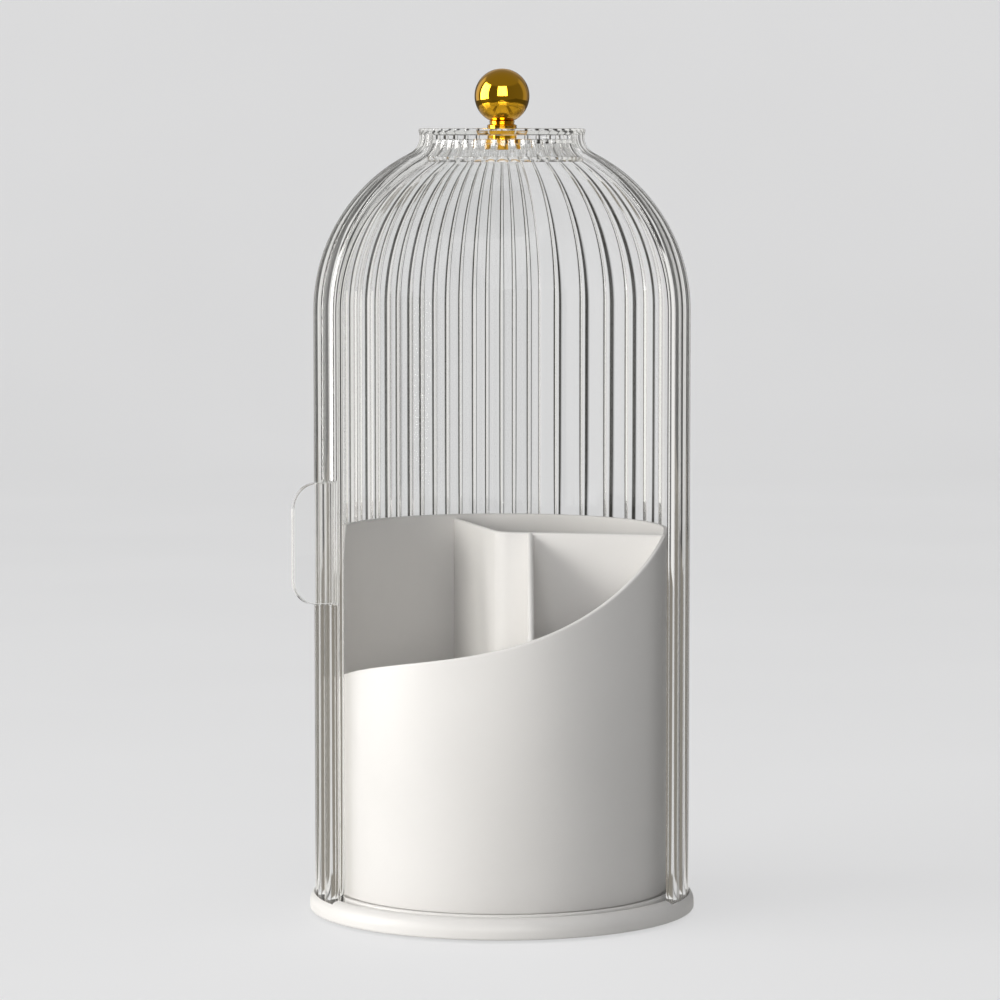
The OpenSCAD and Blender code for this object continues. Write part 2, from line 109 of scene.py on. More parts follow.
# Azimuths of the outer wall's two edges and of the inner wall's rear edge. The inner wall's front edge lies
# at LEFT_AZ too, with a plain strip beside it, and the outer wall has a notch there for the handle
LEFT_AZ = 207.0
RIGHT_AZ = 333.0
DOOR_START = 77.0
DOOR_STRIP = 4.0
NOTCH = 2.779
NOTCH_Z = (122.7, 170.3)
# Centres of the shoulder's and the neck's arcs, and the angle at which the two meet
SHOULDER_X = SHELL_R - SHOULDER_R
HOLLOW_X = NECK_R + NECK_ROUND
HOLLOW_Z = SHOULDER_Z + math.sqrt((SHOULDER_R + NECK_ROUND) ** 2 - (HOLLOW_X - SHOULDER_X) ** 2)
JOIN = math.atan2(HOLLOW_Z - SHOULDER_Z, HOLLOW_X - SHOULDER_X)
COVER_TOP = HOLLOW_Z + NECK_RISE

# Handle, and the hairline between it and the shell that it is glued to
HANDLE_AZ = 205.52
HANDLE_Z = 123.0
HANDLE_LEN = 47.0
HANDLE_OUT = 18.2
HANDLE_T = 2.4
HANDLE_ROUND = 10.0
HAIRLINE = 0.02

# Knob: the ball with its blind hole, and the collar under it on a washer
WASHER_T = 0.6
BALL_R = 10.6
BALL_HOLE = 6.2
COLLAR_H = 1.2
COLLAR_SEAT_R = 4.6
COLLAR_Z = COVER_TOP + WASHER_T
BALL_Z = COLLAR_Z + COLLAR_H + BALL_R

# Outlines of solid turned pieces end this near to the axis
AXIS = 0.02


# Materials


def material(name):
    """A new node material; returns it, its tree, its Principled shader and a maker of nodes."""
    made = bpy.data.materials.new(name)
    made.use_nodes = True
    tree = made.node_tree
    shader = tree.nodes["Principled BSDF"]

    def node(kind, **values):
        n = tree.nodes.new(kind)
        for key, value in values.items():
            if key in n.inputs:
                n.inputs[key].default_value = value
            else:
                setattr(n, key, value)
        return n

    return made, tree, shader, node


def object_noise(tree, node, scale, detail=3.0):
    """Noise in the object's own coordinates, its scale in features per metre; returns its output."""
    where = node("ShaderNodeTexCoord")
    noise = node("ShaderNodeTexNoise", Scale=scale, Detail=detail, Roughness=0.55)
    tree.links.new(where.outputs["Object"], noise.inputs["Vector"])
    return noise.outputs["Fac"]


def ramp(tree, source, stops):
    """A colour ramp over a value, from (position, colour) stops; returns its output."""
    made = tree.nodes.new("ShaderNodeValToRGB")
    elements = made.color_ramp.elements
    elements[0].position, elements[0].color = stops[0]
    elements[1].position, elements[1].color = stops[-1]
    for position, colour in stops[1:-1]:
        elements.new(position).color = colour
    tree.links.new(source, made.inputs["Fac"])
    return made.outputs["Color"]


def math_step(tree, operation, *values):
    """A math node over sockets and plain numbers; returns its output."""
    made = tree.nodes.new("ShaderNodeMath")
    made.operation = operation
    for socket, value in zip(made.inputs, values):
        if isinstance(value, float):
            socket.default_value = value
        else:
            tree.links.new(value, socket)
    return made.outputs[0]


def colour_mix(tree, fac, one, two):
    """A mix of two colours, each a socket or a constant; returns its output."""
    made = tree.nodes.new("ShaderNodeMixRGB")
    tree.links.new(fac, made.inputs["Fac"])
    for socket, value in ((made.inputs["Color1"], one), (made.inputs["Color2"], two)):
        if isinstance(value, tuple):
            socket.default_value = value
        else:
            tree.links.new(value, socket)
    return made.outputs["Color"]


def shader_mix(tree, fac, one, two):
    made = tree.nodes.new("ShaderNodeMixShader")
    tree.links.new(fac, made.inputs["Fac"])
    tree.links.new(one, made.inputs[1])
    tree.links.new(two, made.inputs[2])
    return made.outputs["Shader"]


def ray_kinds(tree):
    """Three values of 0 or 1: rays straight from the camera, rays that went through a clear piece, and rays
    mirrored by the outside of one or by metal. The last two are 0 once a ray has met a dull surface, so that
    what they see lights nothing."""
    path = tree.nodes.new("ShaderNodeLightPath")
    fresh = math_step(tree, "LESS_THAN", path.outputs["Diffuse Depth"], 0.5)
    past = math_step(tree, "GREATER_THAN", path.outputs["Transmission Depth"], 0.5)
    through = math_step(tree, "MULTIPLY", past, fresh)
    outside = math_step(tree, "SUBTRACT", 1.0, past)
    mirrored = math_step(tree, "MULTIPLY", path.outputs["Is Glossy Ray"], fresh)
    return path.outputs["Is Camera Ray"], through, math_step(tree, "MULTIPLY", mirrored, outside)


def grey(value):
    return (value, value, value, 1.0)


def scaled(colour, share):
    """A colour made darker or lighter by a share, up to white."""
    return tuple(min(1.0, c * share) for c in colour) + (1.0,)


def rough_and_bump(tree, node, shader, low, high, scale, strength, distance=0.0002):
    """Roughness that varies between low and high, and a fine bump of a given depth in metres."""
    varied = ramp(tree, object_noise(tree, node, scale), [(0.3, grey(low)), (0.7, grey(high))])
    tree.links.new(varied, shader.inputs["Roughness"])
    bump = node("ShaderNodeBump", Strength=strength, Distance=distance)
    tree.links.new(object_noise(tree, node, scale * 6.0, detail=2.0), bump.inputs["Height"])
    tree.links.new(bump.outputs["Normal"], shader.inputs["Normal"])


def plastic(name, colour, low, high, spread=0.02):
    """Moulded opaque plastic: nearly even colour, soft gloss, very fine orange peel."""
    made, tree, shader, node = material(name)
    tones = [(0.25, scaled(colour, 1 - spread)), (0.75, scaled(colour, 1 + spread))]
    noise = object_noise(tree, node, scale=22.0, detail=4.0)
    tree.links.new(ramp(tree, noise, tones), shader.inputs["Base Color"])
    rough_and_bump(tree, node, shader, low, high, scale=45.0, strength=0.05)
    shader.inputs["IOR"].default_value = 1.47
    shader.inputs["Specular IOR Level"].default_value = 0.18
    return made


# A ray in clear acrylic goes straight on past this many bounces, or mirrorings inside it
MOST_DEPTH = 7.5
MOST_MIRRORINGS = 2.5


def clear(name, tint, low, high):
    """Clear moulded acrylic. Shadow rays pass it, so that what stands inside is lit, and so do rays that
    have been thrown to and fro in it, which would end black."""
    made, tree, shader, node = material(name)
    tones = [(0.3, scaled(tint, 0.995)), (0.7, scaled(tint, 1.0))]
    noise = object_noise(tree, node, scale=18.0, detail=2.0)
    tree.links.new(ramp(tree, noise, tones), shader.inputs["Base Color"])
    gloss = [(0.35, grey(low)), (0.75, grey(high))]
    noise = object_noise(tree, node, scale=30.0, detail=1.0)
    tree.links.new(ramp(tree, noise, gloss), shader.inputs["Roughness"])
    shader.inputs["Transmission Weight"].default_value = 1.0
    shader.inputs["IOR"].default_value = 1.49
    path = node("ShaderNodeLightPath")
    deep = math_step(tree, "GREATER_THAN", path.outputs["Ray Depth"], MOST_DEPTH)
    thrown = math_step(tree, "GREATER_THAN", path.outputs["Glossy Depth"], MOST_MIRRORINGS)
    lost = math_step(tree, "MAXIMUM", deep, thrown)
    let_by = math_step(tree, "MAXIMUM", path.outputs["Is Shadow Ray"], lost)
    straight = node("ShaderNodeBsdfTransparent", Color=(0.985, 0.985, 0.98, 1.0))
    final = shader_mix(tree, let_by, shader.outputs["BSDF"], straight.outputs["BSDF"])
    tree.links.new(final, tree.nodes["Material Output"].inputs["Surface"])
    return made


def metal(name, colour, low, high, spread=0.05, coat=0.0):
    """Polished or brushed metal with slight variation of its tone."""
    made, tree, shader, node = material(name)
    tones = [(0.3, scaled(colour, 1 - spread)), (0.7, scaled(colour, 1.0))]
    tree.links.new(ramp(tree, object_noise(tree, node, scale=60.0), tones), shader.inputs["Base Color"])
    rough_and_bump(tree, node, shader, low, high, scale=120.0, strength=0.02, distance=0.0001)
    shader.inputs["Metallic"].default_value = 1.0
    shader.inputs["Coat Weight"].default_value = coat
    shader.inputs["Coat Roughness"].default_value = 0.04
    return made


# Name, colour, and the least and greatest roughness of each look
WHITE = plastic("white_plastic", (0.80, 0.785, 0.765), 0.34, 0.46)
CLEAR = clear("clear_acrylic", (0.99, 0.992, 0.99), 0.0, 0.03)
GOLD = metal("gold_plating", (0.76, 0.39, 0.006), 0.03, 0.06, coat=0.35)
STEEL = metal("plain_steel", (0.55, 0.56, 0.58), 0.25, 0.4)
RUBBER = plastic("grey_rubber", (0.16, 0.16, 0.165), 0.6, 0.8, spread=0.1)
CAGE = plastic("cage_plastic", (0.62, 0.62, 0.60), 0.45, 0.6)


# Meshes


def add_piece(name, points, faces, look, body, slot, replaces, bevel=0.0, crease=50.0, sharp=28.0):
    """A mesh from points in millimetres that stands for CAD nodes. Edges over the crease angle are rounded
    by the bevel, and those over the sharp angle divide the smooth shading."""
    b = bmesh.new()
    vs = [b.verts.new(Vector(p) * MM) for p in points]
    for f in faces:
        corner = list(dict.fromkeys(f))
        if len(corner) > 2:
            b.faces.new([vs[i] for i in corner])
    bmesh.ops.remove_doubles(b, verts=b.verts, dist=1e-7)
    bmesh.ops.dissolve_degenerate(b, edges=b.edges, dist=1e-7)
    bmesh.ops.recalc_face_normals(b, faces=b.faces)
    if bevel:
        edges = [e for e in b.edges
                 if len(e.link_faces) == 2 and e.calc_face_angle(0) > math.radians(crease)]
        bmesh.ops.bevel(b, geom=edges, offset=bevel * MM, segments=3, affect="EDGES", clamp_overlap=True)
    for f in b.faces:
        f.smooth = True
    for e in b.edges:
        e.smooth = len(e.link_faces) == 2 and e.calc_face_angle(0) < math.radians(sharp)
    mesh = bpy.data.meshes.new(name)
    b.to_mesh(mesh)
    b.free()
    mesh.materials.append(look)
    piece = bpy.data.objects.new(name, mesh)
    bpy.context.scene.collection.objects.link(piece)
    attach(piece, body)
    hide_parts(*replaces)


def polar(r, az, z):
    return (r * math.cos(math.radians(az)), r * math.sin(math.radians(az)), z)


def arc(cx, cz, r, a, b, n):
    """Points of an arc in n steps, round (cx, cz) from angle a to angle b in degrees."""
    angles = [math.radians(a + (b - a) * i / n) for i in range(n + 1)]
    return [(cx + r * math.cos(angle), cz + r * math.sin(angle)) for angle in angles]


def turned(columns):
    """Points and faces of closed outlines joined all round: columns is [(azimuth, [(r, z), ...]), ...]."""
    m = len(columns[0][1])
    points = [polar(r, az, z) for az, outline in columns for r, z in outline]
    faces = []
    for i in range(len(columns)):
        a, b = i * m, (i + 1) % len(columns) * m
        faces += [(a + j, b + j, b + (j + 1) % m, a + (j + 1) % m) for j in range(m)]
    return points, faces


def lathe(outline, n):
    """One closed outline turned round the axis in n steps."""
    return turned([(360.0 * i / n, outline) for i in range(n)])


# Shells


# How soft a rib's valley is, and the powers that shape its flanks and the valley's bottom
VALLEY_SOFT = 0.03
FLANK_POWER = 0.55
VALLEY_POWER = 0.05
# Share of the ribs' depth at the plate's edge, on its corner, under it, and where the hollow joins the dome
RIB_EDGE = 0.3
RIB_CORNER = 0.38
RIB_UNDER = 0.45
RIB_JOIN = 0.5
# Places of the columns across one rib, closer together at its valleys
RIB_COLUMNS = (0.0, 0.035, 0.09, 0.17, 0.28, 0.39, 0.5, 0.61, 0.72, 0.83, 0.91, 0.965)
RIB_STEPS = len(RIB_COLUMNS)
TURN = int(360 / PITCH) * RIB_STEPS
# Bands of a shell's profile: the plate, the hollow under it, and the dome. The door's cap ends with three
# quarters of the hollow
PLATE_BANDS = 5
HOLLOW_STEPS = 8
DOME_STEPS = 26
CAP_BANDS = PLATE_BANDS + HOLLOW_STEPS * 3 // 4


def rib(az):
    """Share of a rib's height at an azimuth: a broad round crest, and a narrow valley with a small fillet."""
    s = math.sin(math.pi * ((az / PITCH) % 1.0))
    if s <= 1e-6:
        return 0.0
    return math.hypot(s, VALLEY_SOFT) ** FLANK_POWER * s ** VALLEY_POWER


def hollow_angle(z, r):
    """Angle at which the neck's arc of a given radius reaches a height."""
    return math.asin(max(-1.0, min(1.0, (HOLLOW_Z - z) / r)))


def hollow_point(r, a):
    """Point of the neck's arc."""
    return HOLLOW_X - r * math.cos(a), HOLLOW_Z - r * math.sin(a)


def dome_point(r, a):
    """Point of the shoulder's arc."""
    return SHOULDER_X + r * math.cos(a), SHOULDER_Z + r * math.sin(a)


def shell_rows(gap, top, hole_r):
    """Rows of a shell's profile from its hole out and down: outer point, inner point, and share of the ribs'
    depth. The gap is the shell's distance inside the outer shell."""
    out_r, in_r = NECK_ROUND + gap, NECK_ROUND + gap + SHELL_T
    under = top - PLATE_T
    # Widths of the plate's inner flat, of where the ribs fade in above and below it, and of its round edge
    flat, fade, fade_under, round_edge = 8.0, 1.4, 2.2, 0.7
    # How far down the round edge ends, and how far it bulges
    corner, bulge = 0.8, 0.22
    out_a, in_a = hollow_angle(top - corner, out_r), hollow_angle(under - corner, in_r)
    edge = HOLLOW_X - out_r
    dome_r, wall_r = SHOULDER_R - gap, SHELL_R - gap
    rows = [((hole_r, top), (hole_r, under), 0.0),
            ((hole_r + flat, top), (hole_r + flat, under), 0.0),
            ((edge - SHELL_T - fade, top), (edge - SHELL_T - fade_under, under), 0.0)]
    rim, inner_rim = hollow_point(out_r, out_a), hollow_point(in_r, in_a)
    start, inner = (edge - round_edge, top), (hollow_point(in_r, hollow_angle(under, in_r))[0], under)
    rows.append((start, inner, RIB_EDGE))
    rows.append((((start[0] + rim[0]) / 2 + bulge, (start[1] + rim[1]) / 2 + bulge),
                 ((inner[0] + inner_rim[0]) / 2, (inner[1] + inner_rim[1]) / 2), RIB_CORNER))
    for i in range(HOLLOW_STEPS + 1):
        s = i / HOLLOW_STEPS
        rows.append((hollow_point(out_r, out_a + s * (JOIN - out_a)),
                     hollow_point(in_r, in_a + s * (JOIN - in_a)),
                     RIB_UNDER + (RIB_JOIN - RIB_UNDER) * s))
    for i in range(1, DOME_STEPS + 1):
        s = i / DOME_STEPS
        a = JOIN * (1 - s)
        rows.append((dome_point(dome_r, a), dome_point(dome_r - SHELL_T, a),
                     RIB_JOIN + (1 - RIB_JOIN) * s))
    for z in (NOTCH_Z[1], NOTCH_Z[0], SHELL_Z):
        rows.append(((wall_r, z), (wall_r - SHELL_T, z), 1.0))
    return rows


def shell_mesh(azimuths, crests, rows, present):
    """Points and faces of a shell on a grid. A free edge of a present cell gets a side face, and points that
    no face uses are dropped."""
    across, down = len(azimuths), len(rows)
    points = [polar(outer[0] - RIB_DEPTH * depth * (1 - crest), az, outer[1])
              for outer, inner, depth in rows for az, crest in zip(azimuths, crests)]
    points += [polar(inner[0], az, inner[1]) for outer, inner, depth in rows for az in azimuths]

    def has(i, j):
        return 0 <= j < down - 1 and present(i % across, j)

    faces = []
    for j in range(down - 1):
        for i in range(across):
            if not has(i, j):
                continue
            out1, out2 = j * across + i, j * across + (i + 1) % across
            out3, out4 = out2 + across, out1 + across
            in1, in2, in3, in4 = (k + across * down for k in (out1, out2, out3, out4))
            faces += [(out1, out4, out3, out2), (in1, in2, in3, in4)]
            if not has(i - 1, j):
                faces.append((out1, in1, in4, out4))
            if not has(i + 1, j):
                faces.append((out2, out3, in3, in2))
            if not has(i, j - 1):
                faces.append((out1, out2, in2, in1))
            if not has(i, j + 1):
                faces.append((out4, in4, in3, out3))
    keep = sorted({k for face in faces for k in face})
    new = {old: k for k, old in enumerate(keep)}
    return [points[k] for k in keep], [tuple(new[k] for k in face) for face in faces]


def rib_columns(start):
    """Azimuths of all the columns round a full turn of ribs."""
    return [start + PITCH * (k // RIB_STEPS + RIB_COLUMNS[k % RIB_STEPS]) for k in range(TURN)]


def move_nearest(azimuths, place):
    """Moves the column nearest to a place onto it; returns the column's number."""
    nearest = min(range(len(azimuths)), key=lambda k: abs(azimuths[k] - place))
    azimuths[nearest] = place
    return nearest


def make_fixed_shell():
    """The outer shell: a full plate, and a wall that leaves the front open and has the handle's notch."""
    rows = shell_rows(0.0, COVER_TOP, STUD_HOLE_R)
    opening = round((RIGHT_AZ - LEFT_AZ) / PITCH * RIB_STEPS)
    azimuths = rib_columns(LEFT_AZ)
    notch_side = move_nearest(azimuths, LEFT_AZ + 360.0 - NOTCH)
    notch_row = len(rows) - 3

    def present(i, j):
        return j < PLATE_BANDS or i >= opening and (j != notch_row or i < notch_side)

    points, faces = shell_mesh(azimuths, [rib(a - LEFT_AZ) for a in azimuths], rows, present)
    add_piece("ribbed_cover", points, faces, CLEAR, "cover", "clear_plastic", ["fixed_shell"],
              bevel=0.35, crease=55.0, sharp=24.0)


def make_door_shell():
    """The inner shell: a full cap, and a wall whose leading edge is a plain strip."""
    rows = shell_rows(SHELL_T + SHELL_GAP, COVER_TOP - PLATE_T - PLATE_GAP, BUSH_HOLE_R)
    azimuths = rib_columns(DOOR_START)
    strip = round((LEFT_AZ - DOOR_STRIP - DOOR_START) / PITCH * RIB_STEPS)
    last = move_nearest(azimuths, LEFT_AZ)
    crests = [1.0 if strip < k <= last else rib(azimuths[k] - DOOR_START) for k in range(TURN)]
    points, faces = shell_mesh(azimuths, crests, rows, lambda i, j: j < CAP_BANDS or i < last)
    add_piece("ribbed_door", points, faces, CLEAR, "door", "clear_plastic", ["door_shell"],
              bevel=0.35, crease=55.0, sharp=24.0)


def make_handle():
    """The clear fin on the door's edge, with round outer corners and softened edges."""
    corner_x = HANDLE_OUT - HANDLE_ROUND
    outline = [(0.0, 0.0)]
    outline += arc(corner_x, HANDLE_ROUND, HANDLE_ROUND, -90, 0, 12)
    outline += arc(corner_x, HANDLE_LEN - HANDLE_ROUND, HANDLE_ROUND, 0, 90, 12)
    outline += [(0.0, HANDLE_LEN)]
    turn = Matrix.Rotation(math.radians(HANDLE_AZ), 3, "Z")
    start = SHELL_R - SHELL_T - SHELL_GAP + HAIRLINE
    points = [tuple(turn @ Vector((start + x, side * HANDLE_T / 2, HANDLE_Z + z)))
              for side in (-1, 1) for x, z in outline]
    k = len(outline)
    faces = [tuple(range(k)), tuple(range(2 * k - 1, k - 1, -1))]
    faces += [(i, (i + 1) % k, (i + 1) % k + k, i + k) for i in range(k)]
    add_piece("door_fin", points, faces, CLEAR, "door", "clear_plastic", ["door_handle"],
              bevel=0.5, crease=60.0)


# Base, cup and knob


def tray_outline(slot):
    """Closed outline of the tray's half section. With slot, the groove has room for the outer shell too."""
    lip = SHELL_R + SHELL_GAP if slot else SHELL_R - SHELL_T
    end = math.degrees(math.acos((lip - BASE_R + BASE_ROUND) / BASE_ROUND))
    ring_r = (RING_OUT - RING_IN) / 2
    edge_r = 1
    out = [(SEAT_R, FOOT_H)]
    out += arc(BASE_R - edge_r, FOOT_H + edge_r, edge_r, -90, 0, 6)
    out += arc(BASE_R - BASE_ROUND, BASE_TOP - BASE_ROUND, BASE_ROUND, 0, end, 18)
    out += [(lip, GROOVE_Z), (RING_OUT, GROOVE_Z)]
    out += arc(RING_IN + ring_r, RING_TOP - ring_r, ring_r, 0, 180, 12)
    # The ball track's arc ends close to the floor's height on both sides
    out += [(RING_IN, FLOOR_Z), (TRACK_R + TRACK_HALF, FLOOR_Z)]
    out += arc(TRACK_R, TRACK_Z, TRACK_ROUND, -39, -141, 8)
    out += [(TRACK_R - TRACK_HALF, FLOOR_Z), (HUB_R, FLOOR_Z), (HUB_R, HUB_TOP), (BORE_R, HUB_TOP)]
    # The bore opens into a short cone, and that into the hollow over the closing plate
    out += [(BORE_R, BORE_FOOT), (CONE_TOP_R, BORE_FOOT), (CONE_FOOT_R, RECESS_TOP)]
    out += [(RECESS_R, RECESS_TOP), (RECESS_R, SEAT_Z), (SEAT_R, SEAT_Z)]
    return out


def make_tray():
    """The base: its groove is wide behind, for both shells, and narrow across the open front."""
    clearance = 0.4
    wide, narrow = tray_outline(True), tray_outline(False)
    a, b = RIGHT_AZ - clearance, LEFT_AZ + clearance + 360.0
    wide_n, narrow_n = 170, 90
    columns = [(a + (b - a) * i / wide_n, wide) for i in range(wide_n + 1)]
    columns += [(b + (a + 360.0 - b) * i / narrow_n, narrow) for i in range(narrow_n + 1)]
    add_piece("base_body", *turned(columns), WHITE, "base", "white_plastic", ["base_tray"],
              bevel=0.25, crease=50.0, sharp=30.0)


def bezier(points, t):
    """Point of a cubic curve at t, from 0 to 1."""
    weights = ((1 - t) ** 3, 3 * (1 - t) ** 2 * t, 3 * (1 - t) * t * t, t ** 3)
    return tuple(sum(w * q[k] for w, q in zip(weights, points)) for k in (0, 1))


# The rim's height across the front, over x, and where it rises at the left side, over y: each a curve through
# its first and last point, with two that pull it
RIM_LEFT = 88.5
RIM = [(-CUP_R - 1.4, RIM_LEFT), (-0.81 * CUP_R, RIM_LEFT + 25.3), (0.39 * CUP_R, RIM_LEFT + 3.3),
       (CUP_R + 1.4, CUP_TOP + 3)]
DROP = [(-8.0, RIM_LEFT - 0.5), (9.0, RIM_LEFT - 0.5), (3.0, CUP_TOP + 1), (19.0, CUP_TOP + 1)]


def over(curve, x):
    """Height of a curve over x, found by halving."""
    low, high = 0.0, 1.0
    if x <= curve[0][0]:
        return curve[0][1]
    if x >= curve[3][0]:
        return curve[3][1]
    for _ in range(30):
        mid = (low + high) / 2
        if bezier(curve, mid)[0] < x:
            low = mid
        else:
            high = mid
    return bezier(curve, low)[1]


def rim_height(az):
    """Height of the cup's rim at an azimuth."""
    x, y = polar(CUP_R - CUP_WALL / 2, az, 0)[:2]
    # Behind, the rim has its full height
    if x > 0 and y > 0 or y > DROP[3][0]:
        return CUP_TOP
    front = over(RIM, x)
    drop = over(DROP, y) if x < 0 else 0.0
    return min(CUP_TOP, max(front, drop))


def wall_strip(path, tops, half):
    """A standing wall along a path, with a rounded top edge: points and faces."""
    foot, steps, least_mitre = 10.0, 8, 0.7
    points, faces = [], []
    for i, (x, y) in enumerate(path):
        before = path[max(i - 1, 0)]
        after = path[min(i + 1, len(path) - 1)]
        along = Vector((after[0] - before[0], after[1] - before[1])).normalized()
        side = Vector((-along.y, along.x))
        # At a bend the section is widened, so that the wall keeps its thickness
        mitre = 1.0
        if 0 < i < len(path) - 1:
            first = Vector((x - before[0], y - before[1])).normalized()
            mitre = max(least_mitre, abs(side.dot(Vector((-first.y, first.x)))))
        section = [(-half, foot)] + arc(0.0, tops[i] - half, half, 180, 0, steps) + [(half, foot)]
        points += [(x + side.x * out / mitre, y + side.y * out / mitre, z) for out, z in section]
    size = steps + 3
    for i in range(len(path) - 1):
        a, b = i * size, (i + 1) * size
        faces += [(a + j, a + (j + 1) % size, b + (j + 1) % size, b + j) for j in range(size)]
    faces += [tuple(range(size - 1, -1, -1)), tuple(range((len(path) - 1) * size, len(path) * size))]
    return points, faces


def rounded_path(corners, radius):
    """A polyline whose inner corners are rounded."""
    steps = 8
    path = [corners[0]]
    for before, corner, after in zip(corners, corners[1:], corners[2:]):
        corner = Vector(corner)
        start = corner + (Vector(before) - corner).normalized() * radius
        end = corner + (Vector(after) - corner).normalized() * radius
        for i in range(steps + 1):
            t = i / steps
            point = start * (1 - t) ** 2 + corner * 2 * t * (1 - t) + end * t * t
            path.append((point.x, point.y))
    path.append(corners[-1])
    return path


def make_cup():
    """Cup with its sloping front rim, its floor with the pivot's boss, and its dividing walls: a long one
    with a knee, and one that falls towards the front rim."""
    # Azimuths all round, and finer ones where the rim rises steeply
    coarse = [i * 1.5 for i in range(240)]
    fine = [160 + i * 0.3 for i in range(101)]
    half = CUP_WALL / 2
    columns = []
    for az in sorted(set(coarse + fine)):
        h = rim_height(az)
        # The rim is round, with a narrow flat on top
        rim = arc(CUP_R - half, h - half * RIM_FLAT, half, 0, 180, 10)
        out = arc(CUP_R - FOOT_ROUND, CUP_FOOT + FOOT_ROUND, FOOT_ROUND, -90, 0, 4)
        out += [(r, min(z, h)) for r, z in rim]
        out += arc(CUP_R - CUP_WALL - FLOOR_ROUND, CUP_BASE + FLOOR_ROUND, FLOOR_ROUND, 0, -90, 6)
        out += [(BOSS_R + BOSS_EDGE, CUP_BASE), (BOSS_R, CUP_BASE + BOSS_EDGE)]
        out += [(BOSS_R, BOSS_TOP - BOSS_EDGE), (BOSS_R - BOSS_EDGE, BOSS_TOP)]
        out += [(AXIS, BOSS_TOP), (AXIS, CUP_FOOT)]
        columns.append((az, out))
    points, faces = turned(columns)

    # The long wall runs from the cup's rear over the knee and the corner to its right side
    end_r = CUP_R - half
    rear_az, side_az, bend_r = 107.0, 350.0, 5.0
    rear, side = polar(end_r, rear_az, 0)[:2], polar(end_r, side_az, 0)[:2]
    knee, corner = (-1.0, 0.0), (FRONT_WALL_X, -2.0)
    long_wall = rounded_path([rear, knee, corner, side], bend_r)
    # The front wall starts at the corner, and its top falls to just under the front rim
    first_y, last_y, n = -2.6, -math.sqrt(end_r ** 2 - FRONT_WALL_X ** 2), 6
    low = over(RIM, FRONT_WALL_X) - 1.0
    front_wall = [(FRONT_WALL_X, first_y + (last_y - first_y) * i / n) for i in range(n + 1)]
    falling = [WALL_TOP + (low - WALL_TOP) * i / n for i in range(n + 1)]
    for path, tops in ((long_wall, [WALL_TOP] * len(long_wall)), (front_wall, falling)):
        wall_points, wall_faces = wall_strip(path, tops, half)
        faces += [tuple(i + len(points) for i in face) for face in wall_faces]
        points += wall_points
    add_piece("divided_cup", points, faces, WHITE, "rotor", "white_plastic", ["cup"], sharp=40.0)


def make_knob():
    """Polished ball, and the turned collar that it sits on."""
    # The ball's outline starts at the hole's edge, in degrees from its lowest point
    first, last, n = 11.6, 179.7, 72
    ball = [(BALL_R * math.sin(math.radians(a)), BALL_Z - BALL_R * math.cos(math.radians(a)))
            for a in [first + (last - first) * i / n for i in range(n + 1)]]
    hole_end = BALL_Z - BALL_R + BALL_HOLE
    ball += [(AXIS, BALL_Z + BALL_R), (AXIS, hole_end), (STUD_HOLE_R, hole_end)]
    add_piece("knob_globe", *lathe(ball, 144), GOLD, "cover", "gold_metal", ["knob_ball"], sharp=40.0)

    # The collar's steps: radius, and height over its foot. Its top is a hollow that follows the ball
    seat_r = BALL_R + 0.05
    rim = BALL_Z - math.sqrt(seat_r ** 2 - COLLAR_SEAT_R ** 2)
    steps = [(STUD_HOLE_R, 0.0), (5.5, 0.0), (5.7, 0.2), (5.7, 0.5), (5.5, 0.7), (4.95, 0.95), (4.72, 1.2),
             (4.72, 1.5), (4.9, 1.75)]
    collar = [(r, COLLAR_Z + z) for r, z in steps]
    collar += [(4.9, rim - 0.15), (COLLAR_SEAT_R, rim)]
    collar += [(r, BALL_Z - math.sqrt(seat_r ** 2 - r ** 2)) for r in (3.8, 3.0, STUD_HOLE_R)]
    add_piece("knob_seat", *lathe(collar, 96), GOLD, "cover", "gold_metal", ["knob_collar"], sharp=35.0)


make_fixed_shell()
make_door_shell()
make_handle()
make_tray()
make_cup()
make_knob()

LOOKS = {"base_cover": WHITE, "cover_screws": STEEL, "anti_slip_ring": RUBBER, "ball_cage": CAGE,
         "bearing_balls": STEEL, "turntable": WHITE, "pivot_screw": STEEL, "pivot_washer": STEEL,
         "pivot_sleeve": GOLD, "lower_washer": GOLD, "cap_nut": GOLD, "knob_stud": STEEL,
         "top_washer": GOLD, "door_bush": GOLD}
for node_name, look in LOOKS.items():
    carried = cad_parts[node_name]
    carried.data.materials.clear()
    carried.data.materials.append(look)


# Stage, lights and camera


# The stage's pale paint, and what the camera sees past the stage's end
PALE = (0.88, 0.88, 0.885, 1.0)
HORIZON = (0.70, 0.70, 0.705, 1.0)
# How far the stage reaches for all other rays
REACH_X = 1.75
REACH_Y = -1.0
REACH_Z = 1.1
# Painted refraction for rays that clear pieces bend: dark bands paint the ribs' dark lines, white their light
# streaks
PAINTED_DARK_LINES = (0.03, 0.028, 0.025, 1.0)
PAINTED_LIGHT_STREAKS = (1.0, 0.99, 0.965, 1.0)
TAUPE = (0.30, 0.275, 0.235, 1.0)
# The stage for rays that metal mirrors, and for rays that light dull surfaces
# Painted reflections: a bright strip, a highlight for the gold, on dim ground that darkens what gloss mirrors
PAINTED_HIGHLIGHT_STRIP = (1.0, 0.98, 0.94, 1.0)
PAINTED_DIM_REFLECTION = (0.12, 0.12, 0.11, 1.0)
PLAIN_STAGE = (0.72, 0.72, 0.71, 1.0)
# Half the view's width at the object, the least distance behind it that counts, and the ramps' widest spread
VIEW_HALF = 0.1
LEAST_BEHIND = 0.05
WIDEST_SPREAD = 4.0
# Share of its colour that the stage gives off, where it is shown, its painted bands and strip too
GLOW_SHARE = 0.7


